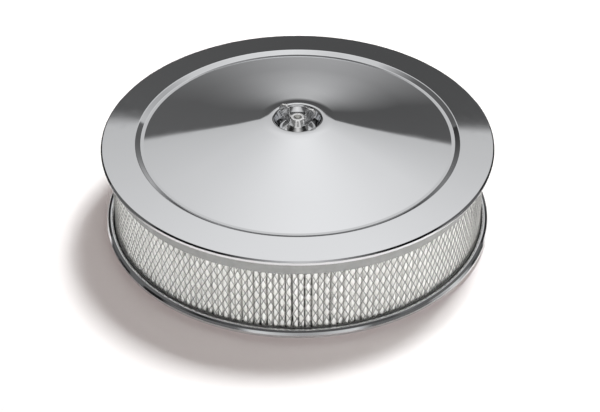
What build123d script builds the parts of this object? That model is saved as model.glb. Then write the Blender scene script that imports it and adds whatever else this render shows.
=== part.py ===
"""Round carburetor air cleaner with an open paper element, 14 inches across.

A chromed lid is clamped on a filter element, which stands in the channel of a chromed drop base.
The frame has its origin on the floor under the centre, +Z up, and the camera side is -Y.
All sizes are in millimetres.
"""

from build123d import *
from math import atan2, cos, degrees, hypot, pi, sin, tan
import os

# Lid and base are pressed from the same sheet and share one rim
SHEET = 0.9
RIM_RADIUS = 177.8
HEM_WIDTH = 2.9
HEM_LEG = 3.2
HEM_BEND = 1.4
RIM_HEIGHT = 4.5
RIM_BEND = 2.0
LEAST_FLAT = 0.05

# Filter element, under the rims
ELEMENT_HEIGHT = 86.6
RIM_OVERHANG = 7.3
SEAL_SKIN = 0.7
ELEMENT_WALL = 26.0
SEAL_LIP = 7.2
TOP_SEAL_HEIGHT = 17.4
BOTTOM_SEAL_HEIGHT = 10.0
POTTING_DEPTH = 4.0
SCREEN_SHEET = 0.6
SCREEN_COLUMNS = 60
SCREEN_ROWS = 2
SCREEN_STRAND = 2.4
SCREEN_BORDER = 5.5
PLEATS = 192
PAPER = 0.5
PAPER_GAP = 0.3

# Base
SEAT_CLEARANCE = 0.7
SEAT_BEND = 2.5
FLANGE_BEND = 2.4
BASE_RIM_LIFT = 4.6
FLANGE_RISE = 4.0
SEAT_MARGIN = 1.4
DECK_SLOPE_WIDTH = 5.6
DECK_HEIGHT = 25.0
DECK_BEND = 4.0
LAND_WIDTH = 15.6
LAND_STEP = 3.2
LAND_BEND = 1.8
NECK_BORE = 65.4
COLLAR_HEIGHT = 9.0
COLLAR_BEND = 2.5

# Neck gasket
GASKET_THICKNESS = 3.0
GASKET_WIDTH = 10.1
GASKET_CLEARANCE = 0.5

# Lid
PRESS_MARGIN = 2.6
PRESS_WIDTH = 3.1
PRESS_BEND = 1.4
LID_RIM_DROP = 3.2
STEP_WIDTH = 4.5
STEP_HEIGHT = 2.5
STEP_BEND = 1.6
DOME_WIDTH = 59.2
DOME_HEIGHT = 10.8
DOME_BEND = 1200.0
CROWN_WIDTH = 7.2
CROWN_HEIGHT = 11.8
CROWN_BEND = 47.0
CREST_BEND = 2.6
WELL_SLOPE_WIDTH = 4.7
WELL_MARGIN = 2.8
WELL_DEPTH = 11.6
WELL_BEND = 2.2

# Stud, washer and wing nut
STUD_RADIUS = 3.175
STUD_LENGTH = 95.0
STUD_CHAMFER = 0.8
STUD_SHANK_RADIUS = 2.75
STUD_UPPER_THREAD = 32.0
STUD_LOWER_THREAD = 25.4
STUD_HOLE_CLEARANCE = 0.5
STUD_SHOW = 0.6
THREAD_CLEARANCE = 0.05
WASHER_INSET = 2.0
WASHER_THICKNESS = 1.2
SKIRT_WIDTH = 5.0
SKIRT_EDGE = 1.0
SKIRT_HEIGHT = 5.8
SHOULDER_WIDTH = 2.7
BOSS_WALL = 3.125
BOSS_HEIGHT = 11.4
BOSS_EDGE = 0.8
WING_SPAN = 34.4
WING_HEIGHT = 22.2
WING_WIDTH = 10.0
WING_SHOULDER = 16.4
WING_ROOT_REACH = 2.0
WING_SHEET = 2.6
WING_EDGE = 0.8
WING_TIP_BEND = 3.6
NUT_TURN = -17.0

# Levels and radii that follow from the sizes above
SEAT_LEVEL = SHEET
PRESS_LEVEL = SEAT_LEVEL + ELEMENT_HEIGHT
LID_RIM_LEVEL = PRESS_LEVEL - LID_RIM_DROP
BASE_RIM_LEVEL = BASE_RIM_LIFT
SEAL_RADIUS = RIM_RADIUS - RIM_OVERHANG
SEAT_OUTER_RADIUS = SEAL_RADIUS + SEAT_CLEARANCE
SCREEN_RADIUS = SEAL_RADIUS - SEAL_SKIN
INNER_SCREEN_RADIUS = SCREEN_RADIUS - ELEMENT_WALL
SEAL_BORE = INNER_SCREEN_RADIUS - SEAL_LIP
SEAT_INNER_RADIUS = SEAL_BORE - SEAT_MARGIN
DECK_RADIUS = SEAT_INNER_RADIUS - DECK_SLOPE_WIDTH
LAND_RADIUS = NECK_BORE + LAND_WIDTH
PAPER_LEVEL = SEAT_LEVEL + BOTTOM_SEAL_HEIGHT - POTTING_DEPTH
PAPER_HEIGHT = PRESS_LEVEL - TOP_SEAL_HEIGHT + POTTING_DEPTH - PAPER_LEVEL
PAPER_RADIUS = SCREEN_RADIUS - SCREEN_SHEET - PAPER_GAP
PAPER_BORE = INNER_SCREEN_RADIUS + PAPER_GAP
INNER_SCREEN_BORE = INNER_SCREEN_RADIUS - SCREEN_SHEET
LAND_LEVEL = DECK_HEIGHT - LAND_STEP
DOME_LEVEL = PRESS_LEVEL + SHEET
PRESS_RADIUS = SEAL_BORE + PRESS_MARGIN + PRESS_WIDTH
STEP_RADIUS = PRESS_RADIUS + STEP_WIDTH
BREAK_RADIUS = PRESS_RADIUS - PRESS_WIDTH - DOME_WIDTH
CREST_LEVEL = DOME_LEVEL + DOME_HEIGHT + CROWN_HEIGHT
BOSS_RADIUS = STUD_RADIUS + BOSS_WALL
NECK_RADIUS = BOSS_RADIUS + SHOULDER_WIDTH
SKIRT_RADIUS = NECK_RADIUS + SKIRT_WIDTH
WASHER_RADIUS = SKIRT_RADIUS - WASHER_INSET
WELL_RADIUS = SKIRT_RADIUS + WELL_MARGIN
CREST_RADIUS = WELL_RADIUS + WELL_SLOPE_WIDTH
CROWN_RADIUS = CREST_RADIUS + CROWN_WIDTH
WELL_LEVEL = CREST_LEVEL - WELL_DEPTH
NUT_LEVEL = WELL_LEVEL + WASHER_THICKNESS
STUD_TOP = NUT_LEVEL + BOSS_HEIGHT + STUD_SHOW


def line_angle(start, end):
    """Direction of the line from start to end."""
    return atan2(end[1] - start[1], end[0] - start[0])


def fitted_bends(points, turns, bends):
    """The bends, with the wider of two neighbours drawn in where the flat between them is too short."""
    reaches = [bend * tan(abs(turn) / 2) for bend, turn in zip(bends, turns)]
    for first, (start, end) in enumerate(zip(points[1:], points[2:-1])):
        room = hypot(end[0] - start[0], end[1] - start[1]) - LEAST_FLAT
        narrow, wide = sorted((first, first + 1), key=lambda corner: reaches[corner])
        reaches[wide] = min(reaches[wide], room - reaches[narrow])
    return [reach / tan(abs(turn) / 2) for reach, turn in zip(reaches, turns)]


def sheet_section(points, bends):
    """Closed section of a bent sheet: points run along its outer side, the metal lies to their left."""
    headings = [line_angle(a, b) for a, b in zip(points, points[1:])]
    turns = [(b - a + pi) % (2 * pi) - pi for a, b in zip(headings, headings[1:])]
    bends = fitted_bends(points, turns, bends)
    back = [(points[0][0] - SHEET * sin(headings[0]), points[0][1] + SHEET * cos(headings[0]))]
    for corner, heading, turn in zip(points[1:], headings, turns):
        middle = heading + turn / 2 + pi / 2
        reach = SHEET / cos(turn / 2)
        back.append((corner[0] + reach * cos(middle), corner[1] + reach * sin(middle)))
    end, heading = points[-1], headings[-1]
    back.append((end[0] - SHEET * sin(heading), end[1] + SHEET * cos(heading)))
    back_bends = [bend - SHEET if turn > 0 else bend + SHEET for bend, turn in zip(bends, turns)]
    outer = FilletPolyline(*points, radius=bends)
    inner = FilletPolyline(*back, radius=back_bends)
    ends = [Line(points[0], back[0]), Line(points[-1], back[-1])]
    return make_face(outer.edges() + inner.edges() + ends)


def turned(section):
    """Full turn of a section, drawn in radius and height, about the vertical axis."""
    return revolve(Plane.XZ * section, Axis.Z)


def ring(radius, bore, height, level):
    """Flat ring that stands on a level."""
    return Pos(0, 0, level) * extrude(Circle(radius) - Circle(bore), height)


def hemmed_rim(level):
    """Points and bends of the rolled hem, from its hidden leg round to the top of the rim."""
    leg = RIM_RADIUS - HEM_WIDTH
    points = [(leg, level + HEM_LEG), (leg, level), (RIM_RADIUS, level), (RIM_RADIUS, level + RIM_HEIGHT)]
    return points, [HEM_BEND, HEM_BEND, RIM_BEND]


def make_lid():
    """Hemmed rim, sloping band, ring that presses on the element, dome, and crown with its well."""
    points, bends = hemmed_rim(LID_RIM_LEVEL)
    points += [
        (STEP_RADIUS, DOME_LEVEL + STEP_HEIGHT),
        (PRESS_RADIUS, DOME_LEVEL),
        (PRESS_RADIUS - PRESS_WIDTH, DOME_LEVEL),
        (BREAK_RADIUS, DOME_LEVEL + DOME_HEIGHT),
        (CROWN_RADIUS, CREST_LEVEL),
        (CREST_RADIUS, CREST_LEVEL),
        (WELL_RADIUS, WELL_LEVEL),
        (STUD_RADIUS + STUD_HOLE_CLEARANCE, WELL_LEVEL),
    ]
    bends += [STEP_BEND, PRESS_BEND, PRESS_BEND, DOME_BEND, CROWN_BEND, CREST_BEND, WELL_BEND]
    return turned(sheet_section(points, bends))


def make_base():
    """Hemmed rim, sloping flange, channel for the element, raised deck and the neck's collar."""
    points, bends = hemmed_rim(BASE_RIM_LEVEL)
    points += [
        (SEAT_OUTER_RADIUS, BASE_RIM_LEVEL + RIM_HEIGHT + FLANGE_RISE),
        (SEAT_OUTER_RADIUS, SEAT_LEVEL),
        (SEAT_INNER_RADIUS, SEAT_LEVEL),
        (DECK_RADIUS, DECK_HEIGHT),
        (LAND_RADIUS + LAND_STEP, DECK_HEIGHT),
        (LAND_RADIUS, LAND_LEVEL),
        (NECK_BORE + SHEET, LAND_LEVEL),
        (NECK_BORE + SHEET, LAND_LEVEL + COLLAR_HEIGHT),
    ]
    bends += [FLANGE_BEND, SEAT_BEND, SEAT_BEND, DECK_BEND, LAND_BEND, LAND_BEND, COLLAR_BEND]
    return turned(sheet_section(points, bends))


def make_seal(height):
    """Moulded end ring, open side up: its channel holds the ends of the paper and both screens."""
    body = extrude(Circle(SEAL_RADIUS) - Circle(SEAL_BORE), height)
    body = fillet(body.edges().group_by(Axis.Z)[0], SEAT_BEND)
    return body - ring(SCREEN_RADIUS, INNER_SCREEN_BORE - PAPER_GAP, POTTING_DEPTH, height - POTTING_DEPTH)


def polar_polygon(places):
    """Face with straight sides between places given as radius and angle."""
    return make_face(Polyline(*[(radius * cos(a), radius * sin(a)) for radius, a in places], close=True))


def make_pleated_paper():
    """One band of paper in radial pleats: each fold is pressed flat, two papers wide."""
    step = 2 * pi / PLEATS
    outside, inside = [], []
    for pleat in range(PLEATS):
        crest = pleat * step
        valley = crest + step / 2
        outside += [(PAPER_RADIUS, crest + side * PAPER / PAPER_RADIUS) for side in (-1, 1)]
        outside.append((PAPER_BORE + PAPER, valley))
        inside.append((PAPER_RADIUS - PAPER, crest))
        inside += [(PAPER_BORE, valley + side * PAPER / PAPER_BORE) for side in (-1, 1)]
    band = polar_polygon(outside) - polar_polygon(inside)
    return Pos(0, 0, PAPER_LEVEL) * extrude(band, PAPER_HEIGHT)


def make_screen(radius):
    """Expanded-metal sleeve with staggered rows of upright diamonds, drawn coarser than the real mesh.

    Its wall has a straight panel for each half column, and each diamond is centred on a panel's edge.
    """
    turn = 2 * pi / SCREEN_COLUMNS
    edges = [index * turn / 2 for index in range(2 * SCREEN_COLUMNS)]
    outline = polar_polygon([(radius, angle) for angle in edges])
    hollow = polar_polygon([(radius - SCREEN_SHEET, angle) for angle in edges])
    wall = Pos(0, 0, PAPER_LEVEL) * extrude(outline - hollow, PAPER_HEIGHT)
    column = turn * radius
    row = 2 * (PAPER_HEIGHT - 2 * SCREEN_BORDER) / (SCREEN_ROWS + 1)
    half_width = (column - SCREEN_STRAND * hypot(column, row) / row) / 2
    half_height = half_width * row / column
    corners = [(half_width, 0), (0, half_height), (-half_width, 0), (0, -half_height)]
    diamond = make_face(Polyline(*corners, close=True))
    punch = Pos(0, -radius, 0) * extrude(Plane.XZ * diamond, column / 2, both=True)
    gaps = []
    for index in range(SCREEN_ROWS):
        level = PAPER_LEVEL + SCREEN_BORDER + (index + 1) * row / 2
        places = PolarLocations(0, SCREEN_COLUMNS, start_angle=degrees(turn) / 2 * (index % 2))
        gaps += [Pos(0, 0, level) * place * punch for place in places.locations]
    return wall - gaps


def make_neck_gasket():
    """Flat ring under the land round the neck."""
    bore = NECK_BORE + GASKET_CLEARANCE
    return ring(bore + GASKET_WIDTH, bore, GASKET_THICKNESS, LAND_LEVEL - SHEET - GASKET_THICKNESS)


def make_center_stud():
    """Stud with a thread at each end and a thinner shank between, hanging in the nut."""
    low = STUD_TOP - STUD_LENGTH
    threads = [
        Pos(0, 0, low) * extrude(Circle(STUD_RADIUS), STUD_LOWER_THREAD),
        Pos(0, 0, STUD_TOP - STUD_UPPER_THREAD) * extrude(Circle(STUD_RADIUS), STUD_UPPER_THREAD),
    ]
    threads = [chamfer(thread.edges(), STUD_CHAMFER) for thread in threads]
    shank_length = STUD_LENGTH - STUD_UPPER_THREAD - STUD_LOWER_THREAD
    shank = Pos(0, 0, low + STUD_LOWER_THREAD) * extrude(Circle(STUD_SHANK_RADIUS), shank_length)
    return shank + threads


def make_wing():
    """One ear of the nut: it rises from the skirt beside the boss and leans outward."""
    tip = WING_SPAN / 2
    root = BOSS_RADIUS - WING_SHEET / 2
    points = [
        (root, SKIRT_EDGE),
        (NECK_RADIUS, SKIRT_EDGE),
        (NECK_RADIUS + WING_ROOT_REACH, SKIRT_HEIGHT),
        (tip, WING_SHOULDER),
        (tip, WING_HEIGHT),
        (tip - WING_WIDTH, WING_HEIGHT),
        (tip - WING_WIDTH, BOSS_HEIGHT),
        (root, BOSS_HEIGHT - BOSS_EDGE),
    ]
    bends = [0, 0, WING_TIP_BEND, WING_TIP_BEND, WING_TIP_BEND, WING_TIP_BEND, 0, 0]
    outline = make_face(FilletPolyline(*points, radius=bends, close=True))
    plate = extrude(Plane.XZ * outline, WING_SHEET / 2, both=True)
    return fillet(plate.edges().filter_by(Plane.XZ), WING_EDGE)


def make_wing_nut():
    """Conical skirt, threaded boss and two ears, cast in one piece."""
    bore = STUD_RADIUS + THREAD_CLEARANCE
    profile = Polyline(
        (0, 0),
        (SKIRT_RADIUS, 0),
        (SKIRT_RADIUS, SKIRT_EDGE),
        (NECK_RADIUS, SKIRT_HEIGHT),
        (BOSS_RADIUS, SKIRT_HEIGHT),
        (BOSS_RADIUS, BOSS_HEIGHT),
        (0, BOSS_HEIGHT),
        close=True,
    )
    body = turned(make_face(profile))
    body = chamfer(body.edges().group_by(Axis.Z)[-1], BOSS_EDGE)
    wing = make_wing()
    nut = body + wing + Rot(0, 0, 180) * wing
    nut -= Cylinder(bore, 2 * WING_HEIGHT)
    return Pos(0, 0, NUT_LEVEL) * Rot(0, 0, NUT_TURN) * nut


parts = {
    "lid": make_lid(),
    "base": make_base(),
    "bottom_seal": Pos(0, 0, SEAT_LEVEL) * make_seal(BOTTOM_SEAL_HEIGHT),
    "top_seal": Pos(0, 0, PRESS_LEVEL) * Rot(180, 0, 0) * make_seal(TOP_SEAL_HEIGHT),
    "pleated_paper": make_pleated_paper(),
    "outer_screen": make_screen(SCREEN_RADIUS),
    "inner_screen": make_screen(INNER_SCREEN_RADIUS),
    "neck_gasket": make_neck_gasket(),
    "sealing_washer": ring(WASHER_RADIUS, STUD_RADIUS + STUD_HOLE_CLEARANCE, WASHER_THICKNESS, WELL_LEVEL),
    "center_stud": make_center_stud(),
    "wing_nut": make_wing_nut(),
}

os.makedirs("parts", exist_ok=True)
for name, solid in parts.items():
    export_step(solid, f"parts/{name}.step")
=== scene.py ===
"""Chromed round air cleaner: finishes, fine mesh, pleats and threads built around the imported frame."""

import math
import random

import bmesh
import bpy
from mathutils import Matrix, Vector


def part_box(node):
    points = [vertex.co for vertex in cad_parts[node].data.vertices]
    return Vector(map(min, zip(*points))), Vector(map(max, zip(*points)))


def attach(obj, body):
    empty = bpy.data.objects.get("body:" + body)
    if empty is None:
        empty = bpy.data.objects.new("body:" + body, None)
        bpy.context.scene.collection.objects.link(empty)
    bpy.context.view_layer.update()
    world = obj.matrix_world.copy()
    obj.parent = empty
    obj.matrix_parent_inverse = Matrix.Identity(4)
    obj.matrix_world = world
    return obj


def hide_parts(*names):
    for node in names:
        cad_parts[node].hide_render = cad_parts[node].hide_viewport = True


bl_info = {
    "name": "Round Air Cleaner",
    "version": (1, 0, 0),
    "blender": (4, 5, 0),
    "location": "View3D > Sidebar > Air Cleaner",
    "description": "Builds the finished surfaces of a chromed carburetor air cleaner",
    "category": "Object",
}

MM = 0.001
FULL_TURN = 2 * math.pi
WHITE = (1.0, 1.0, 1.0, 1.0)
SENSOR = 36.0

# Nearly all of a noise's values lie between these two
NOISE = (0.3, 0.7)

# Largest turn between two samples of a rounded corner
FINENESS = math.radians(8)

# A pleat: seed of its draws, rows of points up it, how far its outer fold can stand back in millimetres,
# the share of its drift that bows its middle, and the steps of its tip to each side of the middle
SEED = 4
LEVELS = 7
SETBACK = 0.7
BOW = 0.8
TIP_STEPS = 4
TIP_TURN = math.radians(20.4)

# The stud's thread: sides round it, slices in a pitch, steepness of its flanks, and its flat root
STUD_SIDES = 48
SLICES = 8
FLANK = 1.25
FLAT = 0.06

# The nut: sides of its turned body, that body's bends from the foot up and down the bore, and an ear's two
# bends at its root, in millimetres
BODY_SIDES = 96
BODY_BENDS = (0.3, 0.4, 3.0, 0.9, 0.4, 0.3)
ROOT_BENDS = (0.01, 0.4)

# Sections across an ear: their place as a share of its thickness, and how far their rim draws in, in
# millimetres
EAR_SECTIONS = ((-0.5, 0.9), (-0.42, 0.35), (-0.22, 0.0), (0.22, 0.0), (0.42, 0.35), (0.5, 0.9))

# Softens the steps that the merging leaves on the casting
SOFTENING = {"factor": 0.5, "iterations": 14}

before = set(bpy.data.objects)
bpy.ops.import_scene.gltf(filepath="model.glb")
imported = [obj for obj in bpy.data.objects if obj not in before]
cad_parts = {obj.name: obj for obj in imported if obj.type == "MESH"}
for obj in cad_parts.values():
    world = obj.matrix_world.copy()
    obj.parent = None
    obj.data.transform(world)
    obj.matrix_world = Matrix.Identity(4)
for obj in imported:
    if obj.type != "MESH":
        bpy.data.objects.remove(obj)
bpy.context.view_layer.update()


def linear(colour):
    """Linear RGB with alpha 1 from an sRGB hex colour."""
    channels = [int(colour[i:i + 2], 16) / 255 for i in (0, 2, 4)]
    return [c / 12.92 if c <= 0.04045 else ((c + 0.055) / 1.055) ** 2.4 for c in channels] + [1.0]


def size(name, millimetres, description):
    """A length property with its default in millimetres."""
    return bpy.props.FloatProperty(
        name=name, description=description, default=millimetres * MM, unit="LENGTH", precision=5
    )


def angle(name, degrees, description):
    """An angle property with its default in degrees."""
    return bpy.props.FloatProperty(
        name=name, description=description, default=math.radians(degrees), subtype="ANGLE"
    )


def amount(name, default, description):
    """A plain number property."""
    return bpy.props.FloatProperty(name=name, description=description, default=default)


def count(name, default, description):
    """A whole number property."""
    return bpy.props.IntProperty(name=name, description=description, default=default)


def colour(name, default, description):
    """A colour property with its default as an sRGB hex colour."""
    return bpy.props.FloatVectorProperty(
        name=name, description=description, default=linear(default), size=4, subtype="COLOR"
    )


class SheetShape(bpy.types.PropertyGroup):
    """The sheet and the rolled rim that the lid and the base share."""

    gauge: size("Gauge", 0.9, "Thickness of the pressed sheet")
    hem_width: size("Hem width", 2.9, "Width across the rolled hem")
    hem_leg: size("Hem leg", 3.2, "Height of the hem's hidden leg")
    hem_bend: size("Hem bend", 1.4, "Outer radius of the hem's two lower bends")
    rim_height: size("Rim height", 4.5, "Height of the rim's outer wall")
    bevel_run: size("Bevel run", 1.36, "Width of the bevel over the rim's wall")
    bevel_drop: size("Bevel drop", 1.14, "Height of that bevel")
    bevel_bend: size("Bevel bend", 0.5, "Outer radius of the bevel's two bends")
    sides: count("Sides", 288, "Flats round a full turn")


class LidShape(bpy.types.PropertyGroup):
    """The pressed shape of the lid."""

    step_radius: size("Step radius", 146.8, "Inner edge of the sloping band")
    step_height: size("Step height", 2.5, "Height of the band's inner edge over the pressing ring")
    step_bend: size("Step bend", 1.6, "Radius of the bend over the step")
    press_radius: size("Pressing radius", 142.3, "Outer radius of the ring that presses on the element")
    press_width: size("Pressing width", 3.1, "Width of that ring")
    press_bend: size("Pressing bend", 1.4, "Radius of the bends beside that ring")
    break_radius: size("Break radius", 80.0, "Radius where the dome grows a little steeper")
    dome_height: size("Dome height", 10.8, "Height of the dome there, over the pressing ring")
    dome_bend: size("Dome bend", 1200.0, "Radius of that wide bend")
    crown_radius: size("Crown radius", 28.7, "Radius of the crown's corner before it is rounded")
    crown_height: size("Crown height", 11.8, "Height of the crown over the break")
    crown_bend: size("Crown bend", 47.0, "Radius of the crown's rounding")
    crest_radius: size("Crest radius", 21.5, "Radius of the well's upper corner before it is rounded")
    crest_bend: size("Crest bend", 2.6, "Radius of that rounding")
    well_radius: size("Well radius", 16.8, "Radius of the well's floor")
    well_depth: size("Well depth", 11.6, "Depth of the floor under the crown")
    well_bend: size("Well bend", 2.2, "Radius between the well's wall and floor")
    hole_radius: size("Hole radius", 3.675, "Hole for the stud")


class BaseShape(bpy.types.PropertyGroup):
    """The pressed shape of the base."""

    rim_lift: size("Rim lift", 4.6, "Height of the rim's foot over the floor")
    seat_radius: size("Seat radius", 171.2, "Outer wall of the element's channel")
    seat_bend: size("Seat bend", 2.5, "Radius of the channel's lower bends")
    flange_rise: size("Flange rise", 4.0, "Height of the flange's inner edge over the rim")
    flange_bend: size("Flange bend", 2.4, "Radius of the fold into the channel")
    seat_inner: size("Seat inner radius", 135.2, "Inner edge of the channel's floor")
    deck_radius: size("Deck radius", 129.6, "Outer edge of the raised deck")
    deck_height: size("Deck height", 25.0, "Height of the deck over the floor")
    deck_bend: size("Deck bend", 4.0, "Radius of the deck's outer bend")
    land_radius: size("Land radius", 81.0, "Outer edge of the flat land round the neck")
    land_step: size("Land step", 3.2, "Drop from the deck to the land")
    land_bend: size("Land bend", 1.8, "Radius of the bends of that step")
    neck_bore: size("Neck bore", 65.4, "Radius of the neck")
    collar_height: size("Collar height", 9.0, "Height of the turned-up collar")
    collar_bend: size("Collar bend", 2.5, "Radius between land and collar")


class ElementShape(bpy.types.PropertyGroup):
    """The filter element: seals, paper and the two screens."""

    potting: size("Potting depth", 4.0, "How far the paper and the screens stand in the seals")
    seal_bore: size("Seal bore", 136.6, "Inner radius of the seals")
    channel_outside: size("Channel outside", 169.8, "Outer radius of the channel in the seals")
    channel_inside: size("Channel inside", 142.9, "Inner radius of that channel")
    seal_edge: size("Seal edge", 2.5, "Radius of the edges that face the metal")
    seal_lip: size("Seal lip", 0.3, "Radius of the other moulded edges")
    paper: size("Paper", 0.45, "Thickness of the paper")
    fold: size("Fold", 1.85, "Radius of a pleat's outer fold")
    inner_fold: size("Inner fold", 0.6, "Radius of a pleat's inner fold")
    pleats: count("Pleats", 192, "Pleats round the element")
    unevenness: amount("Unevenness", 0.1, "How far a fold strays, as a share of the pleat spacing")
    diamond_width: size("Diamond width", 6.3, "Width of one opening and its strand")
    diamond_height: size("Diamond height", 11.7, "Height of one opening and its strand")
    strand: size("Strand", 0.78, "Width of a strand")
    bond: size("Bond", 1.5, "Height of the joint where strands meet")
    mesh_gauge: size("Mesh gauge", 0.36, "Thickness of the expanded sheet")
    lean: size("Lean", 0.3, "How far a strand leans out of the sheet")


class HardwareShape(bpy.types.PropertyGroup):
    """The wing nut and the stud."""

    thread_pitch: size("Thread pitch", 1.27, "Pitch of the stud's thread")
    thread_depth: size("Thread depth", 0.72, "Depth of the stud's thread")
    shank_radius: size("Shank radius", 2.75, "Radius of the stud between its threads")
    upper_thread: size("Upper thread", 32.0, "Length of the upper thread")
    lower_thread: size("Lower thread", 25.4, "Length of the lower thread")
    skirt_radius: size("Skirt radius", 14.0, "Radius of the nut's conical skirt")
    ear_root: size("Ear root", 2.0, "How far an ear's lower edge runs out over the skirt")
    ring_edge: size("Ring edge", 0.15, "Radius of the punched edges of the washer and the gasket")
    gasket_clearance: size("Gasket clearance", 0.5, "Gap between the neck's bore and the gasket's")
    skirt_edge: size("Skirt edge", 1.0, "Height of the skirt's upright edge")
    skirt_height: size("Skirt height", 5.8, "Height of the conical skirt")
    neck_radius: size("Neck radius", 9.0, "Radius at the skirt's top")
    boss_radius: size("Boss radius", 6.3, "Radius of the threaded boss")
    boss_height: size("Boss height", 11.4, "Height of the boss over the nut's foot")
    bore_radius: size("Bore radius", 3.225, "Radius of the nut's bore")
    wing_span: size("Wing span", 34.4, "Distance between the tips of the ears")
    wing_width: size("Wing width", 10.0, "Width of an ear at its top")
    wing_shoulder: size("Wing shoulder", 16.4, "Height where an ear is widest")
    wing_gauge: size("Wing gauge", 2.6, "Thickness of an ear")
    wing_bend: size("Wing bend", 3.6, "Radius of an ear's corners")
    turn: angle("Turn", -17.0, "How far the nut is turned at rest")
    voxel: size("Voxel", 0.25, "Grain of the merged casting")


class Finishes(bpy.types.PropertyGroup):
    """Colours of the materials."""

    chrome: colour("Chrome", "D9DADC", "Bright chrome plate")
    cast_chrome: colour("Cast chrome", "F2F2F2", "Bright chrome plate on the casting")
    galvanised: colour("Galvanised", "ABABA8", "Dull zinc on the expanded mesh")
    zinc: colour("Zinc", "C2C2BE", "Bright zinc plate on the stud")
    paper: colour("Paper", "F4F3F0", "Filter paper")
    plastisol: colour("Plastisol", "8D8D8B", "Moulded grey seal")
    fibre: colour("Fibre", "2E2D2B", "Pressed gasket fibre")


class StageShape(bpy.types.PropertyGroup):
    """Camera, lamp, floor and surroundings."""

    lens: amount("Lens", 97.3, "Focal length in millimetres on a 36 mm sensor")
    camera_side: size("Camera side", 15.7, "Distance of the camera to the right of the stud")
    camera_reach: size("Camera reach", 1204.6, "Distance of the camera in front of the stud")
    camera_rise: size("Camera rise", 932.7, "Height of the camera over the floor")
    camera_pitch: angle("Camera pitch", 37.42, "How far the camera looks down")
    camera_yaw: angle("Camera yaw", 0.645, "How far the camera looks to the left")
    floor_radius: size("Floor radius", 4000.0, "Radius of the floor")
    floor_sides: count("Floor sides", 64, "Sides of the floor")
    floor_colour: colour("Floor colour", "F2F2F2", "Colour of the floor's sheet")
    floor_glow: amount("Floor glow", 0.12, "Light the floor adds for the camera, so that it is white")
    glow_colour: colour("Glow colour", "FFD8CE", "Colour of the light the floor adds, to warm its shadow")
    strip_inside: size("Strip inside", 225.0, "Half the width of the white floor that the chrome sees")
    strip_outside: size("Strip outside", 250.0, "Where that floor is dark for the chrome")
    strip_dark: amount("Strip dark", 0.08, "Light from there for the chrome")
    key_power: amount("Key power", 44.0, "Power of the soft lamp in watts")
    key_size: size("Key size", 520.0, "Side of the soft lamp")
    key_place: bpy.props.FloatVectorProperty(
        name="Key place", description="Place of the soft lamp", default=(0.45, 0.75, 1.82), subtype="XYZ"
    )
    walls: amount("Walls", 7.8, "Light along the horizon for dull surfaces")
    ceiling: amount("Ceiling", 0.12, "Light from above for dull surfaces")
    skew: angle("Skew", 2.6, "How far the soft box overhead hangs askew")


def settings():
    """The sizes and colours of this scene."""
    return bpy.context.scene.air_cleaner


def add_node(tree, kind, inputs=None, **options):
    """Adds a node, sets its options, and fills or links its inputs by name or number.

    A node given for an input is linked by its first output.
    """
    made = tree.nodes.new(kind)
    for key, value in options.items():
        setattr(made, key, value)
    for key, value in (inputs or {}).items():
        if isinstance(value, bpy.types.Node):
            value = value.outputs[0]
        if isinstance(value, bpy.types.NodeSocket):
            tree.links.new(value, made.inputs[key])
        else:
            made.inputs[key].default_value = value
    return made


def grain(millimetres, detail=2.0):
    """Settings of a noise whose patches are about that wide."""
    return {"Scale": 1 / (millimetres * MM), "Detail": detail}


def spread(source, low, high):
    """Settings that take a range of values to low and high."""
    return {"From Min": source[0], "From Max": source[1], "To Min": low, "To Max": high}


def empty_tree(owner):
    """The node tree of a new material or world, with nothing in it."""
    owner.use_nodes = True
    owner.node_tree.nodes.clear()
    return owner.node_tree


def new_material(name):
    """An empty material, its tree, and the object coordinates that its patterns use."""
    made = bpy.data.materials.new(name)
    tree = empty_tree(made)
    return made, tree, add_node(tree, "ShaderNodeTexCoord").outputs["Object"]


def finished(made, values):
    """The material with a Principled shader that has these inputs."""
    shader = add_node(made.node_tree, "ShaderNodeBsdfPrincipled", values)
    add_node(made.node_tree, "ShaderNodeOutputMaterial", {"Surface": shader})
    return made


def mottled(tree, tone, share, pattern, source=NOISE):
    """A colour that a pattern turns into a darker or paler share of itself."""
    factor = add_node(tree, "ShaderNodeMapRange", {"Value": pattern, **spread(source, 0, 1)})
    other = [channel * share for channel in tone[:3]] + [1.0]
    made = add_node(tree, "ShaderNodeMix", {"Factor": factor, "A": tone, "B": other}, data_type="RGBA")
    return made.outputs["Result"]


def polished_chrome_plate():
    """Bright chrome on pressed steel: a clean mirror, with the press's long faint waves in it."""
    made, tree, place = new_material("polished_chrome_plate")
    buffing = add_node(tree, "ShaderNodeTexNoise", {"Vector": place, **grain(9, 4.0)})
    waves = add_node(tree, "ShaderNodeTexNoise", {"Vector": place, **grain(55, 1.0)})
    return finished(made, {
        "Base Color": settings().finishes.chrome,
        "Metallic": 1.0,
        "Roughness": add_node(tree, "ShaderNodeMapRange", {"Value": buffing, **spread(NOISE, 0.03, 0.06)}),
        "Normal": add_node(tree, "ShaderNodeBump", {"Height": waves, "Distance": 0.12 * MM}),
    })


def chrome_plated_casting():
    """Chrome on a polished casting: brighter and a little softer than on the pressings."""
    made, tree, place = new_material("chrome_plated_casting")
    polish = add_node(tree, "ShaderNodeTexNoise", {"Vector": place, **grain(3, 3.0)})
    return finished(made, {
        "Base Color": settings().finishes.cast_chrome,
        "Metallic": 1.0,
        "Roughness": add_node(tree, "ShaderNodeMapRange", {"Value": polish, **spread(NOISE, 0.12, 0.2)}),
    })


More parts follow.
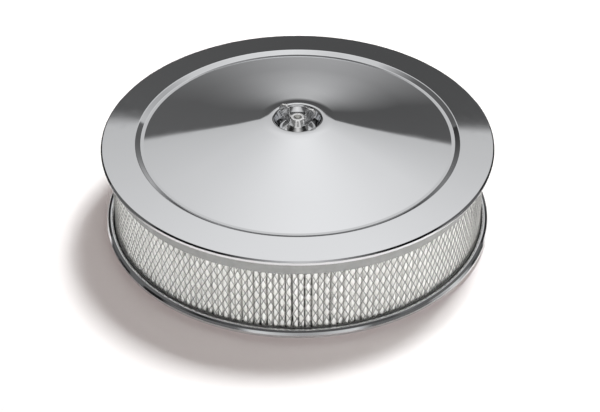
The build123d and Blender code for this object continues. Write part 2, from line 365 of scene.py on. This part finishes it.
def galvanised_expanded_steel():
    """Hot-dipped zinc on expanded steel: dull grey with a fine spangle."""
    made, tree, place = new_material("galvanised_expanded_steel")
    spangle = add_node(tree, "ShaderNodeTexVoronoi", {"Vector": place, "Scale": 1 / (1.6 * MM)})
    dullness = add_node(tree, "ShaderNodeTexNoise", {"Vector": place, **grain(2)})
    pits = add_node(tree, "ShaderNodeTexNoise", {"Vector": place, **grain(0.5)})
    return finished(made, {
        "Base Color": mottled(tree, settings().finishes.galvanised, 0.72, spangle, (0, 0.8)),
        "Metallic": 0.5,
        "Roughness": add_node(tree, "ShaderNodeMapRange", {"Value": dullness, **spread(NOISE, 0.38, 0.55)}),
        "Normal": add_node(tree, "ShaderNodeBump", {"Height": pits, "Distance": 0.03 * MM}),
    })


def zinc_plated_steel():
    """Bright zinc on a rolled stud: silvery, with fine marks along the thread."""
    made, tree, place = new_material("zinc_plated_steel")
    wear = add_node(tree, "ShaderNodeTexNoise", {"Vector": place, **grain(1.5)})
    marks = add_node(tree, "ShaderNodeTexNoise", {"Vector": place, **grain(0.4)})
    return finished(made, {
        "Base Color": settings().finishes.zinc,
        "Metallic": 1.0,
        "Roughness": add_node(tree, "ShaderNodeMapRange", {"Value": wear, **spread(NOISE, 0.18, 0.32)}),
        "Normal": add_node(tree, "ShaderNodeBump", {"Height": marks, "Distance": 0.02 * MM}),
    })


def pleated_filter_paper():
    """Resin-treated filter paper: matt warm white, with fibres that show as a faint cloud."""
    made, tree, place = new_material("pleated_filter_paper")
    upright = add_node(tree, "ShaderNodeMapping", {"Vector": place, "Scale": (1.0, 1.0, 0.45)})
    fibres = add_node(tree, "ShaderNodeTexNoise", {"Vector": upright, **grain(0.9, 5.0)})
    return finished(made, {
        "Base Color": mottled(tree, settings().finishes.paper, 0.9, fibres),
        "Roughness": 0.9,
        "Specular IOR Level": 0.2,
        "Normal": add_node(tree, "ShaderNodeBump", {"Height": fibres, "Distance": 0.05 * MM}),
    })


def moulded_plastisol():
    """Poured and cured plastisol: a soft grey skin with a fine mould grain."""
    made, tree, place = new_material("moulded_plastisol")
    cloud = add_node(tree, "ShaderNodeTexNoise", {"Vector": place, **grain(6, 3.0)})
    skin = add_node(tree, "ShaderNodeTexNoise", {"Vector": place, **grain(0.7)})
    return finished(made, {
        "Base Color": mottled(tree, settings().finishes.plastisol, 0.88, cloud),
        "Roughness": add_node(tree, "ShaderNodeMapRange", {"Value": cloud, **spread(NOISE, 0.5, 0.65)}),
        "Normal": add_node(tree, "ShaderNodeBump", {"Height": skin, "Distance": 0.05 * MM}),
    })


def pressed_gasket_fibre():
    """Gasket board pressed from fibre and binder: near black, with pale flecks."""
    made, tree, place = new_material("pressed_gasket_fibre")
    flecks = add_node(tree, "ShaderNodeTexNoise", {"Vector": place, **grain(1.1, 6.0)})
    return finished(made, {
        "Base Color": mottled(tree, settings().finishes.fibre, 2.2, flecks),
        "Roughness": 0.85,
        "Normal": add_node(tree, "ShaderNodeBump", {"Height": flecks, "Distance": 0.06 * MM}),
    })


def material(maker):
    """The material of a maker function of the same name, made once."""
    return bpy.data.materials.get(maker.__name__) or maker()


def link_piece(mesh, name, maker, body, node):
    """Puts a finished mesh into the scene as a piece that stands for a frame node."""
    piece = bpy.data.objects.new(name, mesh)
    bpy.context.scene.collection.objects.link(piece)
    mesh.materials.clear()
    mesh.materials.append(material(maker))
    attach(piece, body)
    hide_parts(node)
    return piece


def bent_line(corners, bends):
    """Samples along a line with rounded corners: radius, height and heading at each."""
    headings = [math.atan2(b[1] - a[1], b[0] - a[0]) for a, b in zip(corners, corners[1:])]
    samples = [(corners[0][0], corners[0][1], headings[0])]
    for corner, bend, before, after in zip(corners[1:], bends, headings, headings[1:]):
        turn = (after - before + math.pi) % FULL_TURN - math.pi
        reach = bend * math.tan(abs(turn) / 2)
        side = math.copysign(bend, turn)
        start = (corner[0] - reach * math.cos(before), corner[1] - reach * math.sin(before))
        centre = (start[0] - side * math.sin(before), start[1] + side * math.cos(before))
        steps = max(2, math.ceil(abs(turn) / FINENESS))
        for step in range(steps + 1):
            heading = before + turn * step / steps
            x = centre[0] + side * math.sin(heading)
            samples.append((x, centre[1] - side * math.cos(heading), heading))
    samples.append((corners[-1][0], corners[-1][1], headings[-1]))
    return samples


def sheet_outline(corners, bends):
    """Closed outline of a bent sheet as corner pairs: place, heading before and heading after."""
    gauge = settings().sheet.gauge
    front = bent_line(corners, bends)
    back = [(x - gauge * math.sin(h), z + gauge * math.cos(h), h + math.pi) for x, z, h in front][::-1]
    outline = [[x, z, h, h] for x, z, h in front + back]
    first_edge = front[0][2] - math.pi / 2
    last_edge = front[-1][2] + math.pi / 2
    outline[0][2] = first_edge
    outline[-1][3] = first_edge
    outline[len(front) - 1][3] = last_edge
    outline[len(front)][2] = last_edge
    return outline


def closed_outline(corners, bends):
    """Closed outline with rounded corners, run with the solid on its left."""
    middle = [(a + b) / 2 for a, b in zip(corners[0], corners[-1])]
    samples = bent_line([middle, *corners, middle], bends)
    return [[x, z, h, h] for x, z, h in samples[:-1]]


def turned_mesh(name, outline, sides):
    """Mesh of an outline turned about the stud's axis, with the outline's exact normals."""
    points, faces, normals = [], [], []
    spokes = [(math.cos(FULL_TURN * i / sides), math.sin(FULL_TURN * i / sides)) for i in range(sides)]
    for x, z, _, _ in outline:
        points += [(x * c, x * s, z) for c, s in spokes]
    for ring, (here, there) in enumerate(zip(outline, outline[1:] + outline[:1])):
        after = (ring + 1) % len(outline)
        leaving = (math.sin(here[3]), -math.cos(here[3]))
        arriving = (math.sin(there[2]), -math.cos(there[2]))
        for spoke in range(sides):
            turned = (spoke + 1) % sides
            face = ((ring, spoke), (ring, turned), (after, turned), (after, spoke))
            faces.append([row * sides + at for row, at in face])
            ends = ((leaving, spoke), (leaving, turned), (arriving, turned), (arriving, spoke))
            for (n_r, n_z), at in ends:
                c, s = spokes[at]
                normals.append((n_r * c, n_r * s, n_z))
    mesh = bpy.data.meshes.new(name)
    mesh.from_pydata(points, [], faces)
    mesh.polygons.foreach_set("use_smooth", [True] * len(faces))
    mesh.update()
    mesh.normals_split_custom_set(normals)
    return mesh


def hemmed_rim(radius, level, inward):
    """Corners and bends of the rolled hem, from its hidden leg over the bevel to the next corner inward."""
    sheet = settings().sheet
    leg, top = radius - sheet.hem_width, level + sheet.rim_height
    slope = (inward[1] - top) / (radius - inward[0])
    corners = [
        (leg, level + sheet.hem_leg),
        (leg, level),
        (radius, level),
        (radius, top - sheet.bevel_drop),
        (radius - sheet.bevel_run, top + slope * sheet.bevel_run),
        inward,
    ]
    return corners, [sheet.hem_bend, sheet.hem_bend, sheet.bevel_bend, sheet.bevel_bend]


class AIRCLEANER_OT_lid(bpy.types.Operator):
    """Presses the chromed lid: rim, sloping band, step, dome, hub and well"""

    bl_idname = "air_cleaner.lid"
    bl_label = "Lid"

    def execute(self, context):
        lid = settings().lid
        low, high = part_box("lid")
        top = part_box("top_seal")[1].z + settings().sheet.gauge
        corners, bends = hemmed_rim(high.x, low.z, (lid.step_radius, top + lid.step_height))
        crest = top + lid.dome_height + lid.crown_height
        corners += [
            (lid.press_radius, top),
            (lid.press_radius - lid.press_width, top),
            (lid.break_radius, top + lid.dome_height),
            (lid.crown_radius, crest),
            (lid.crest_radius, crest),
            (lid.well_radius, crest - lid.well_depth),
            (lid.hole_radius, crest - lid.well_depth),
        ]
        bends += [lid.step_bend, lid.press_bend, lid.press_bend, lid.dome_bend]
        bends += [lid.crown_bend, lid.crest_bend, lid.well_bend]
        mesh = turned_mesh("lid_pressing", sheet_outline(corners, bends), settings().sheet.sides)
        link_piece(mesh, "lid_pressing", polished_chrome_plate, "cover", "lid")
        return {"FINISHED"}


class AIRCLEANER_OT_base(bpy.types.Operator):
    """Presses the chromed base: rim, flange, channel, deck and the neck's collar"""

    bl_idname = "air_cleaner.base"
    bl_label = "Base"

    def execute(self, context):
        base = settings().base
        low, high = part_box("base")
        seat = low.z + settings().sheet.gauge
        rim = low.z + base.rim_lift
        land = base.deck_height - base.land_step
        collar = base.neck_bore + settings().sheet.gauge
        flange = rim + settings().sheet.rim_height + base.flange_rise
        corners, bends = hemmed_rim(high.x, rim, (base.seat_radius, flange))
        corners += [
            (base.seat_radius, seat),
            (base.seat_inner, seat),
            (base.deck_radius, base.deck_height),
            (base.land_radius + base.land_step, base.deck_height),
            (base.land_radius, land),
            (collar, land),
            (collar, land + base.collar_height),
        ]
        bends += [base.flange_bend, base.seat_bend, base.seat_bend, base.deck_bend]
        bends += [base.land_bend, base.land_bend, base.collar_bend]
        mesh = turned_mesh("base_pressing", sheet_outline(corners, bends), settings().sheet.sides)
        link_piece(mesh, "base_pressing", polished_chrome_plate, "housing", "base")
        return {"FINISHED"}


class AIRCLEANER_OT_seals(bpy.types.Operator):
    """Moulds the two seal rings, each with the channel that holds the paper and the screens"""

    bl_idname = "air_cleaner.seals"
    bl_label = "Seals"

    def execute(self, context):
        shape = settings().element
        outer, inner, lip = shape.channel_outside, shape.channel_inside, shape.seal_lip
        rings = (("top_seal", "upper_seal", 1, 0), ("bottom_seal", "lower_seal", 0, 1))
        for node, name, face, mouth in rings:
            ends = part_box(node)
            radius, bore = ends[1].x, shape.seal_bore
            back, front = ends[face].z, ends[mouth].z
            floor = front + math.copysign(shape.potting, back - front)
            corners = [(radius, front), (radius, back), (bore, back), (bore, front)]
            corners += [(inner, front), (inner, floor), (outer, floor), (outer, front)]
            bends = [lip, shape.seal_edge, shape.seal_edge, lip, lip, lip, lip, lip]
            if back < front:
                corners.reverse()
                bends.reverse()
            mesh = turned_mesh(name, closed_outline(corners, bends), settings().sheet.sides)
            link_piece(mesh, name, moulded_plastisol, "housing", node)
        return {"FINISHED"}


def solid_modifiers(piece, modifiers):
    """Adds modifiers by kind and options, and puts their result into the piece's mesh."""
    for kind, options in modifiers:
        modifier = piece.modifiers.new(kind.lower(), kind)
        for key, value in options.items():
            setattr(modifier, key, value)
    graph = bpy.context.evaluated_depsgraph_get()
    result = bpy.data.meshes.new_from_object(piece.evaluated_get(graph))
    piece.modifiers.clear()
    piece.data = result


class AIRCLEANER_OT_paper(bpy.types.Operator):
    """Folds the filter paper: round-tipped pleats that wander a little, as pleats set by hand do"""

    bl_idname = "air_cleaner.paper"
    bl_label = "Pleated paper"

    def execute(self, context):
        shape = settings().element
        low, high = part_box("pleated_paper")
        outer, inner = high.x - shape.paper / 2, shape.channel_inside + shape.mesh_gauge + shape.paper
        chance = random.Random(SEED)
        step = FULL_TURN / shape.pleats
        tips = []
        for fold in range(2 * shape.pleats):
            drift = shape.unevenness * step
            pull = [chance.uniform(-drift, drift) for _ in range(3)]
            back = chance.uniform(0, SETBACK) * MM if fold % 2 == 0 else 0.0
            tips.append((fold * step / 2, pull, back))
        rows = []
        for level in range(LEVELS):
            share = level / (LEVELS - 1)
            row = []
            for fold, (at, pull, back) in enumerate(tips):
                bow = math.sin(math.pi * share)
                away = at + pull[0] * (1 - share) + pull[1] * share + BOW * pull[2] * bow
                facing = 1 if fold % 2 == 0 else -1
                bend = shape.fold if facing > 0 else shape.inner_fold
                radius = (outer - back - bend) if facing > 0 else inner + bend
                cos, sin = math.cos(away), math.sin(away)
                for part in range(-TIP_STEPS, TIP_STEPS + 1):
                    x = radius + facing * bend * math.cos(TIP_TURN * part)
                    y = bend * math.sin(TIP_TURN * part)
                    row.append((x * cos - y * sin, x * sin + y * cos))
            rows.append([(x, y, low.z + share * (high.z - low.z)) for x, y in row])
        width = len(rows[0])
        faces = []
        for level in range(LEVELS - 1):
            for i in range(width):
                a, b = level * width + i, level * width + (i + 1) % width
                faces.append((a, b, b + width, a + width))
        mesh = bpy.data.meshes.new("paper_folds")
        mesh.from_pydata([point for row in rows for point in row], [], faces)
        mesh.polygons.foreach_set("use_smooth", [True] * len(faces))
        piece = link_piece(mesh, "paper_folds", pleated_filter_paper, "housing", "pleated_paper")
        solid_modifiers(piece, [("SOLIDIFY", {"thickness": shape.paper, "offset": 0.0})])
        return {"FINISHED"}


def expanded_sleeve(name, radius, node):
    """A sleeve of expanded metal: leaning strands between short bonds, round a cylinder."""
    shape = settings().element
    low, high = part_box("pleated_paper")
    columns = round(FULL_TURN * radius / shape.diamond_width)
    pitch = FULL_TURN * radius / columns
    rise = shape.diamond_height / 2
    rows = int((high.z - low.z) / rise)
    start = (low.z + high.z - rows * rise) / 2
    points, faces = [], []

    def place(x, z, out):
        turn = x / radius
        reach = radius - shape.mesh_gauge / 2 + out
        points.append((reach * math.cos(turn), reach * math.sin(turn), z))

    for row in range(rows + 1):
        for column in range(columns):
            x = (column + 0.5 * (row % 2)) * pitch
            for z in (-shape.bond / 2, shape.bond / 2):
                for side in (-1, 0, 1):
                    place(x + side * shape.strand, start + row * rise + z, side * shape.lean)

    def bond(column, row):
        return 6 * (row * columns + column % columns)

    for row in range(rows + 1):
        for column in range(columns):
            at = bond(column, row)
            faces += [(at, at + 1, at + 4, at + 3), (at + 1, at + 2, at + 5, at + 4)]
            if row < rows:
                shift = row % 2
                right, left = bond(column + shift, row + 1), bond(column + shift - 1, row + 1)
                faces.append((at + 4, at + 5, right + 1, right))
                faces.append((at + 3, at + 4, left + 2, left + 1))
    mesh = bpy.data.meshes.new(name)
    mesh.from_pydata(points, [], faces)
    mesh.update()
    piece = link_piece(mesh, name, galvanised_expanded_steel, "housing", node)
    solid_modifiers(piece, [("SOLIDIFY", {"thickness": shape.mesh_gauge, "offset": 0.0})])


class AIRCLEANER_OT_sleeves(bpy.types.Operator):
    """Stretches the two expanded-metal sleeves round and inside the paper"""

    bl_idname = "air_cleaner.sleeves"
    bl_label = "Mesh sleeves"

    def execute(self, context):
        lean = settings().element.lean
        expanded_sleeve("outer_mesh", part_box("outer_screen")[1].x - lean, "outer_screen")
        expanded_sleeve("inner_mesh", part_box("inner_screen")[1].x - lean, "inner_screen")
        return {"FINISHED"}


class AIRCLEANER_OT_stud(bpy.types.Operator):
    """Rolls the stud: a real thread at each end and a plain shank between them"""

    bl_idname = "air_cleaner.stud"
    bl_label = "Stud"

    def execute(self, context):
        shape = settings().hardware
        low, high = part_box("center_stud")
        sides, fine = STUD_SIDES, shape.thread_pitch / SLICES
        crest = high.x
        root = crest - shape.thread_depth
        rows = int((high.z - low.z) / fine)
        points, faces = [], []
        for row in range(rows + 1):
            z = low.z + (high.z - low.z) * row / rows
            end = min(z - low.z, high.z - z)
            threaded = z - low.z < shape.lower_thread or high.z - z < shape.upper_thread
            for side in range(sides):
                wave = abs(2 * ((z / shape.thread_pitch - side / sides) % 1.0) - 1)
                cut = root + shape.thread_depth * min(1.0, max(0.0, FLANK * wave - FLAT))
                radius = min(cut, root + end) if threaded else shape.shank_radius
                turn = FULL_TURN * side / sides
                points.append((radius * math.cos(turn), radius * math.sin(turn), z))
        for row in range(rows):
            for side in range(sides):
                a, b = row * sides + side, row * sides + (side + 1) % sides
                faces.append((a, b, b + sides, a + sides))
        faces.append(tuple(range(sides))[::-1])
        faces.append(tuple(rows * sides + side for side in range(sides)))
        mesh = bpy.data.meshes.new("threaded_stud")
        mesh.from_pydata(points, [], faces)
        mesh.polygons.foreach_set("use_smooth", [True] * (len(faces) - 2) + [False] * 2)
        mesh.update()
        link_piece(mesh, "threaded_stud", zinc_plated_steel, "stud", "center_stud")
        return {"FINISHED"}


class AIRCLEANER_OT_rings(bpy.types.Operator):
    """Cuts the fibre washer under the nut and the neck's gasket"""

    bl_idname = "air_cleaner.rings"
    bl_label = "Washer and gasket"

    def execute(self, context):
        shape = settings().hardware
        for node, name, body, bore in (
            ("sealing_washer", "fibre_washer", "cover", settings().lid.hole_radius),
            ("neck_gasket", "fibre_gasket", "housing", settings().base.neck_bore + shape.gasket_clearance),
        ):
            low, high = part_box(node)
            corners = [(high.x, low.z), (high.x, high.z), (bore, high.z), (bore, low.z)]
            outline = closed_outline(corners, [shape.ring_edge] * 4)
            mesh = turned_mesh(name, outline, settings().sheet.sides // 2)
            link_piece(mesh, name, pressed_gasket_fibre, body, node)
        return {"FINISHED"}


class AIRCLEANER_OT_nut(bpy.types.Operator):
    """Casts the wing nut: conical skirt, boss and two ears that flow into each other"""

    bl_idname = "air_cleaner.nut"
    bl_label = "Wing nut"

    def execute(self, context):
        shape = settings().hardware
        low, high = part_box("wing_nut")
        foot = low.z
        skirt = shape.skirt_radius
        corners = [
            (skirt, foot),
            (skirt, foot + shape.skirt_edge),
            (shape.neck_radius, foot + shape.skirt_height),
            (shape.boss_radius, foot + shape.boss_height),
            (shape.bore_radius, foot + shape.boss_height),
            (shape.bore_radius, foot),
        ]
        bends = [bend * MM for bend in BODY_BENDS]
        body = turned_mesh("cast_nut", closed_outline(corners, bends), BODY_SIDES)
        ears = bmesh.new()
        ears.from_mesh(body)
        tip, gauge = shape.wing_span / 2, shape.wing_gauge
        top = high.z - foot
        root = shape.boss_radius - gauge / 2
        ear = [
            (root, shape.skirt_edge),
            (shape.neck_radius, shape.skirt_edge),
            (shape.neck_radius + shape.ear_root, shape.skirt_height),
            (tip, shape.wing_shoulder),
            (tip, top),
            (tip - shape.wing_width, top),
            (tip - shape.wing_width, shape.boss_height),
            (root, shape.boss_height - shape.skirt_edge),
        ]
        rounded = bent_line(ear, [bend * MM for bend in ROOT_BENDS] + [shape.wing_bend] * 4)
        for facing in (1, -1):
            rims = []
            for depth, inset in EAR_SECTIONS:
                rim = []
                for x, z, heading in rounded:
                    x -= inset * MM * math.sin(heading)
                    z += inset * MM * math.cos(heading)
                    rim.append(ears.verts.new((facing * x, facing * depth * gauge, foot + z)))
                rims.append(rim)
            for first, second in zip(rims, rims[1:]):
                for i, vert in enumerate(first):
                    j = (i + 1) % len(first)
                    ears.faces.new((vert, first[j], second[j], second[i]))
            ears.faces.new(rims[0][::-1])
            ears.faces.new(rims[-1])
        bmesh.ops.recalc_face_normals(ears, faces=ears.faces)
        turned = Matrix.Rotation(shape.turn, 3, "Z")
        bmesh.ops.rotate(ears, cent=(0, 0, 0), matrix=turned, verts=ears.verts)
        casting = bpy.data.meshes.new("cast_nut")
        ears.to_mesh(casting)
        ears.free()
        piece = link_piece(casting, "cast_nut", chrome_plated_casting, "nut", "wing_nut")
        steps = [
            ("REMESH", {"mode": "VOXEL", "voxel_size": shape.voxel, "use_smooth_shade": True}),
            ("SMOOTH", SOFTENING),
        ]
        solid_modifiers(piece, steps)
        return {"FINISHED"}


class AIRCLEANER_OT_stage(bpy.types.Operator):
    """Sets up the camera, the floor, the lamp and the studio that the chrome reflects"""

    bl_idname = "air_cleaner.stage"
    bl_label = "Stage"

    def execute(self, context):
        stage = settings().stage
        scene = context.scene
        camera = bpy.data.objects.new("camera", bpy.data.cameras.new("camera"))
        scene.collection.objects.link(camera)
        camera.data.lens = stage.lens
        camera.data.sensor_width = SENSOR
        camera.location = (stage.camera_side, -stage.camera_reach, stage.camera_rise)
        camera.rotation_euler = (math.pi / 2 - stage.camera_pitch, 0.0, stage.camera_yaw)
        scene.camera = camera

        floor = bmesh.new()
        bmesh.ops.create_circle(
            floor, cap_ends=True, segments=stage.floor_sides, radius=stage.floor_radius
        )
        mesh = bpy.data.meshes.new("floor")
        floor.to_mesh(mesh)
        floor.free()
        ground = bpy.data.objects.new("floor", mesh)
        scene.collection.objects.link(ground)
        mesh.materials.append(white_sheet())

        light = bpy.data.lights.new("key", "AREA")
        light.energy, light.size = stage.key_power, stage.key_size
        lamp = bpy.data.objects.new("key", light)
        lamp.location = stage.key_place
        lamp.rotation_euler = Vector(stage.key_place).to_track_quat("Z", "Y").to_euler()
        lamp.visible_glossy = False
        scene.collection.objects.link(lamp)
        scene.world = studio()
        scene.view_settings.view_transform = "Standard"
        return {"FINISHED"}


def white_sheet():
    """The stage's white sheet: it takes the shadow, and is lifted to white for the camera and the chrome.

    The chrome sees it as a strip, so that the rims of the lid and the base turn dark at the sides.
    """
    made, tree, place = new_material("white_sheet")
    stage = settings().stage
    path = add_node(tree, "ShaderNodeLightPath").outputs
    direct, glossy = path["Is Camera Ray"], path["Is Glossy Ray"]
    seen = add_node(tree, "ShaderNodeMath", {0: direct, 1: glossy}, operation="MAXIMUM")
    lift = add_node(tree, "ShaderNodeMath", {0: seen, 1: stage.floor_glow}, operation="MULTIPLY")
    sheet = add_node(tree, "ShaderNodeBsdfDiffuse", {"Color": stage.floor_colour})
    glow = add_node(tree, "ShaderNodeEmission", {"Color": stage.glow_colour, "Strength": lift})
    both = add_node(tree, "ShaderNodeAddShader", {0: sheet, 1: glow})
    across = add_node(tree, "ShaderNodeSeparateXYZ", {0: place})
    off = add_node(tree, "ShaderNodeMath", {0: across}, operation="ABSOLUTE")
    edge = (stage.strip_inside, stage.strip_outside)
    beyond = add_node(tree, "ShaderNodeMapRange", {"Value": off, **spread(edge, 0, 1)})
    unlit = add_node(tree, "ShaderNodeMath", {0: beyond, 1: glossy}, operation="MULTIPLY")
    dark = add_node(tree, "ShaderNodeEmission", {"Strength": stage.strip_dark})
    strip = add_node(tree, "ShaderNodeMixShader", {0: unlit, 1: both, 2: dark})
    add_node(tree, "ShaderNodeOutputMaterial", {"Surface": strip})
    return made


# What the chrome sees, from the horizon behind the object over the top to the one in front of it:
# degrees of the arc and brightness there, in the middle and off to the sides
MIDDLE_OF_STUDIO = (
    (0, 0.11), (25, 0.095), (32.2, 0.1), (33.0, 0.7), (36, 0.74), (46, 1.02), (60, 1.1), (80, 1.15),
    (90, 1.0), (95, 0.15), (106, 0.1), (112, 0.7), (148, 0.75), (156, 0.25), (180, 0.2),
)
SIDES_OF_STUDIO = (
    (0, 0.14), (32.2, 0.15), (33.0, 0.66), (36, 0.7), (60, 0.74), (86, 0.74), (94, 0.08), (126, 0.06),
    (136, 0.85), (180, 0.9),
)
BRIGHTEST = max(level for _, level in MIDDLE_OF_STUDIO)

# Directions in the studio are parts of a unit vector. The middle lies a little to the right. From there the
# box and the patch of light behind the object fade like a bell this wide, and the box is cut off at an edge
MIDDLE = 0.08
BOX_WIDTH = 0.3
PATCH_WIDTH = 0.27
BOX_EDGE = (0.42, 0.55)
BEYOND_BOX = 0.2

# How far right the bright wing begins, and its brightness. The height where the patch fades, and its
# brightness below that. The height where the walls for dull surfaces turn into the ceiling
WING_EDGE = (0.86, 0.93)
WING = 0.85
PATCH_EDGE = (0.14, 0.37)
PATCH = 0.5
WALL_EDGE = (0.08, 0.24)


def studio():
    """White for the camera, even light on dull surfaces, and for the chrome a wide soft box overhead."""
    made = bpy.data.worlds.new("studio")
    tree = empty_tree(made)
    stage = settings().stage
    way = add_node(tree, "ShaderNodeTexCoord").outputs["Generated"]
    tilt = {"Vector": way, "Angle": stage.skew}
    turned = add_node(tree, "ShaderNodeVectorRotate", tilt, rotation_type="Y_AXIS")
    x, y, z = add_node(tree, "ShaderNodeSeparateXYZ", {0: turned}).outputs
    arc = add_node(tree, "ShaderNodeMath", {0: z, 1: y}, operation="ARCTAN2")
    share = add_node(tree, "ShaderNodeMath", {0: arc, 1: math.pi}, operation="DIVIDE")
    ramps = []
    for stops in (MIDDLE_OF_STUDIO, SIDES_OF_STUDIO):
        ramp = add_node(tree, "ShaderNodeValToRGB", {"Fac": share})
        elements = ramp.color_ramp.elements
        while len(elements) < len(stops):
            elements.new(0.5)
        for element, (degrees, level) in zip(elements, stops):
            element.position = degrees / 180
            element.color = [level / BRIGHTEST] * 3 + [1.0]
        ramps.append(ramp)
    aside = add_node(tree, "ShaderNodeMath", {0: x, 1: MIDDLE}, operation="SUBTRACT")
    bells = []
    for width in (BOX_WIDTH, PATCH_WIDTH):
        wide = add_node(tree, "ShaderNodeMath", {0: aside, 1: width}, operation="DIVIDE")
        square = add_node(tree, "ShaderNodeMath", {0: wide, 1: wide}, operation="MULTIPLY")
        bells.append(add_node(tree, "ShaderNodeMath", {0: math.exp(-1), 1: square}, operation="POWER"))
    mix = {"Factor": bells[0], "A": ramps[1], "B": ramps[0]}
    level = add_node(tree, "ShaderNodeMix", mix, data_type="RGBA").outputs["Result"]
    off = add_node(tree, "ShaderNodeMath", {0: aside}, operation="ABSOLUTE")
    fade = spread(BOX_EDGE, BRIGHTEST, BEYOND_BOX * BRIGHTEST)
    edge = add_node(tree, "ShaderNodeMapRange", {"Value": off, **fade})
    panels = add_node(tree, "ShaderNodeBackground", {"Color": level, "Strength": edge})

    wing = add_node(tree, "ShaderNodeMapRange", {"Value": aside, **spread(WING_EDGE, 0, WING)})
    low = add_node(tree, "ShaderNodeMapRange", {"Value": z, **spread(PATCH_EDGE, PATCH, 0)})
    behind = add_node(tree, "ShaderNodeMath", {0: y, 1: 0.0}, operation="GREATER_THAN")
    patch = add_node(tree, "ShaderNodeMath", {0: bells[1], 1: low}, operation="MULTIPLY")
    patch = add_node(tree, "ShaderNodeMath", {0: patch, 1: behind}, operation="MULTIPLY")
    both = add_node(tree, "ShaderNodeMath", {0: patch, 1: wing}, operation="ADD")
    backdrop = add_node(tree, "ShaderNodeBackground", {"Color": WHITE, "Strength": both})
    boxes = add_node(tree, "ShaderNodeAddShader", {0: panels, 1: backdrop})

    fade = spread(WALL_EDGE, stage.walls, stage.ceiling)
    room = add_node(tree, "ShaderNodeMapRange", {"Value": z, **fade})
    even = add_node(tree, "ShaderNodeBackground", {"Color": WHITE, "Strength": room})
    white = add_node(tree, "ShaderNodeBackground", {"Color": WHITE, "Strength": 1.0})
    path = add_node(tree, "ShaderNodeLightPath").outputs
    lit = add_node(tree, "ShaderNodeMixShader", {0: path["Is Glossy Ray"], 1: even, 2: boxes})
    seen = add_node(tree, "ShaderNodeMixShader", {0: path["Is Camera Ray"], 1: lit, 2: white})
    add_node(tree, "ShaderNodeOutputWorld", {"Surface": seen})
    return made


STEPS = ("lid", "base", "seals", "paper", "sleeves", "stud", "rings", "nut", "stage")


class AIRCLEANER_PT_panel(bpy.types.Panel):
    """Sizes and steps of the air cleaner"""

    bl_idname = "AIRCLEANER_PT_panel"
    bl_label = "Air cleaner"
    bl_space_type = "VIEW_3D"
    bl_region_type = "UI"
    bl_category = "Air Cleaner"

    def draw(self, context):
        for group in AirCleaner.__annotations__:
            values = getattr(settings(), group)
            box = self.layout.box()
            box.label(text=group.capitalize())
            for name in values.__annotations__:
                box.prop(values, name)
        for step in STEPS:
            self.layout.operator(f"air_cleaner.{step}")


class AirCleaner(bpy.types.PropertyGroup):
    """All settings of the scene."""

    sheet: bpy.props.PointerProperty(type=SheetShape)
    lid: bpy.props.PointerProperty(type=LidShape)
    base: bpy.props.PointerProperty(type=BaseShape)
    element: bpy.props.PointerProperty(type=ElementShape)
    hardware: bpy.props.PointerProperty(type=HardwareShape)
    finishes: bpy.props.PointerProperty(type=Finishes)
    stage: bpy.props.PointerProperty(type=StageShape)


CLASSES = (
    SheetShape,
    LidShape,
    BaseShape,
    ElementShape,
    HardwareShape,
    Finishes,
    StageShape,
    AirCleaner,
    AIRCLEANER_OT_lid,
    AIRCLEANER_OT_base,
    AIRCLEANER_OT_seals,
    AIRCLEANER_OT_paper,
    AIRCLEANER_OT_sleeves,
    AIRCLEANER_OT_stud,
    AIRCLEANER_OT_rings,
    AIRCLEANER_OT_nut,
    AIRCLEANER_OT_stage,
    AIRCLEANER_PT_panel,
)


def register():
    """Registers the classes and the settings."""
    for cls in CLASSES:
        bpy.utils.register_class(cls)
    bpy.types.Scene.air_cleaner = bpy.props.PointerProperty(type=AirCleaner)


def unregister():
    """Removes the settings and the classes."""
    del bpy.types.Scene.air_cleaner
    for cls in reversed(CLASSES):
        bpy.utils.unregister_class(cls)


def main():
    """Builds every piece in order."""
    register()
    for step in STEPS:
        getattr(bpy.ops.air_cleaner, step)()


if __name__ == "__main__":
    main()
